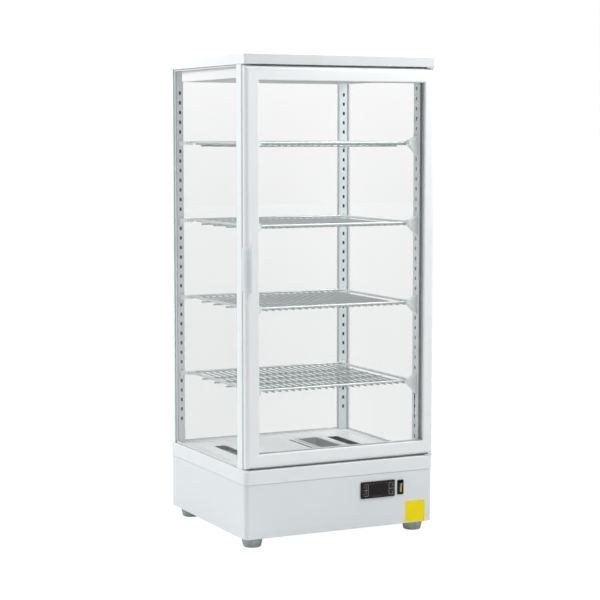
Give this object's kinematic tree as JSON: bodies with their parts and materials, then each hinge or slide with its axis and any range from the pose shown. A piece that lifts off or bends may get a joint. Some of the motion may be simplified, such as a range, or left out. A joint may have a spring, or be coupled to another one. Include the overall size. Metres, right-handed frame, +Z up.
{
  "type": "heated display case",
  "caption": "Counter-top heated display case: glass walls between corner posts, a hinged glass door, wire shelves on hooked brackets, and a base with a controller.",
  "frame": {"origin": "centre of the bounding box's bottom face: on the counter, under the middle of the cabinet", "axes": "+Z up, the door faces -Y, +X to the right of someone facing the door"},
  "size_m": [0.418, 0.3894, 0.9537],
  "materials": {
    "white_enamel": "smooth white stove enamel, semi gloss",
    "white_plastic": "smooth white moulded plastic, satin",
    "clear_glass": "clear float glass, faint green edge",
    "zinc_sheet": "plain zinc-coated sheet",
    "stainless_steel": "satin stainless sheet",
    "shelf_wire": "bright plated wire",
    "foot_rubber": "mid grey rubber",
    "seal_rubber": "dark grey magnetic seal",
    "black_plastic": "black moulded plastic",
    "key_plastic": "dark grey membrane keys",
    "lamp_diffuser": "translucent white diffuser",
    "handle_plastic": "pale grey moulded handle",
    "heater_steel": "oxidised tube of the heating element"
  },
  "bodies": {
    "cabinet": {"base_pan": "zinc_sheet", "base_skirt": "white_enamel", "foot_front_left": "foot_rubber", "foot_front_right": "foot_rubber", "foot_rear_left": "foot_rubber", "foot_rear_right": "foot_rubber", "rear_panel": "white_enamel", "cord_gland": "black_plastic", "deck_frame": "white_plastic", "deck_plate": "white_enamel", "post_front_left": "white_enamel", "post_front_right": "white_enamel", "post_rear_left": "white_enamel", "post_rear_right": "white_enamel", "left_glass_outer": "clear_glass", "left_glass_inner": "clear_glass", "right_glass_outer": "clear_glass", "right_glass_inner": "clear_glass", "rear_glass_outer": "clear_glass", "rear_glass_inner": "clear_glass", "top_frame": "white_plastic", "top_cap": "white_plastic", "lamp_cover": "lamp_diffuser", "door_pivot_bottom": "stainless_steel", "door_pivot_top": "stainless_steel", "controller_body": "black_plastic", "switch_body": "black_plastic", "heater": "heater_steel", "fan_frame": "black_plastic", "bracket_1_front_left": "white_plastic", "bracket_1_front_right": "white_plastic", "bracket_1_rear_left": "white_plastic", "bracket_1_rear_right": "white_plastic", "bracket_2_front_left": "white_plastic", "bracket_2_front_right": "white_plastic", "bracket_2_rear_left": "white_plastic", "bracket_2_rear_right": "white_plastic", "bracket_3_front_left": "white_plastic", "bracket_3_front_right": "white_plastic", "bracket_3_rear_left": "white_plastic", "bracket_3_rear_right": "white_plastic", "bracket_4_front_left": "white_plastic", "bracket_4_front_right": "white_plastic", "bracket_4_rear_left": "white_plastic", "bracket_4_rear_right": "white_plastic"},
    "door": {"door_frame": "white_plastic", "door_glass": "clear_glass", "door_gasket": "seal_rubber", "door_handle": "handle_plastic"},
    "water_tray": {"water_pan": "stainless_steel"},
    "rocker": {"switch_rocker": "black_plastic"},
    "impeller": {"fan_impeller": "black_plastic"},
    "lift_shelf_1": {"shelf_1": "shelf_wire"},
    "key_1": {"controller_key_1": "key_plastic"},
    "lift_shelf_2": {"shelf_2": "shelf_wire"},
    "key_2": {"controller_key_2": "key_plastic"},
    "lift_shelf_3": {"shelf_3": "shelf_wire"},
    "key_3": {"controller_key_3": "key_plastic"},
    "lift_shelf_4": {"shelf_4": "shelf_wire"},
    "key_4": {"controller_key_4": "key_plastic"}
  },
  "joints": [
    {"name": "door_hinge", "type": "hinge", "parent": "cabinet", "child": "door", "pos_m": [0.201, -0.18105, 0.155], "axis": [0, 0, 1], "range_deg": [0, 105]},
    {"name": "water_pan_lift", "type": "slide", "parent": "cabinet", "child": "water_tray", "axis": [0, 0, 1], "range_m": [0, 0.05]},
    {"name": "lamp_switch_rock", "type": "hinge", "parent": "cabinet", "child": "rocker", "pos_m": [0.1334, -0.18455, 0.0951], "axis": [1, 0, 0], "range_deg": [-16, 0]},
    {"name": "fan_spin", "type": "hinge", "parent": "cabinet", "child": "impeller", "pos_m": [0, 0.06, 0.0678], "axis": [0, 1, 0], "continuous": true},
    {"name": "shelf_1_lift", "type": "slide", "parent": "cabinet", "child": "lift_shelf_1", "axis": [0, 0, 1], "range_m": [0, 0.04]},
    {"name": "shelf_2_lift", "type": "slide", "parent": "cabinet", "child": "lift_shelf_2", "axis": [0, 0, 1], "range_m": [0, 0.04]},
    {"name": "shelf_3_lift", "type": "slide", "parent": "cabinet", "child": "lift_shelf_3", "axis": [0, 0, 1], "range_m": [0, 0.04]},
    {"name": "shelf_4_lift", "type": "slide", "parent": "cabinet", "child": "lift_shelf_4", "axis": [0, 0, 1], "range_m": [0, 0.04]},
    {"name": "key_1_press", "type": "slide", "parent": "cabinet", "child": "key_1", "axis": [0, 1, 0], "range_m": [0, 0.0008], "stiffness_N_per_m": 600},
    {"name": "key_2_press", "type": "slide", "parent": "cabinet", "child": "key_2", "axis": [0, 1, 0], "range_m": [0, 0.0008], "stiffness_N_per_m": 600},
    {"name": "key_3_press", "type": "slide", "parent": "cabinet", "child": "key_3", "axis": [0, 1, 0], "range_m": [0, 0.0008], "stiffness_N_per_m": 600},
    {"name": "key_4_press", "type": "slide", "parent": "cabinet", "child": "key_4", "axis": [0, 1, 0], "range_m": [0, 0.0008], "stiffness_N_per_m": 600}
  ]
}
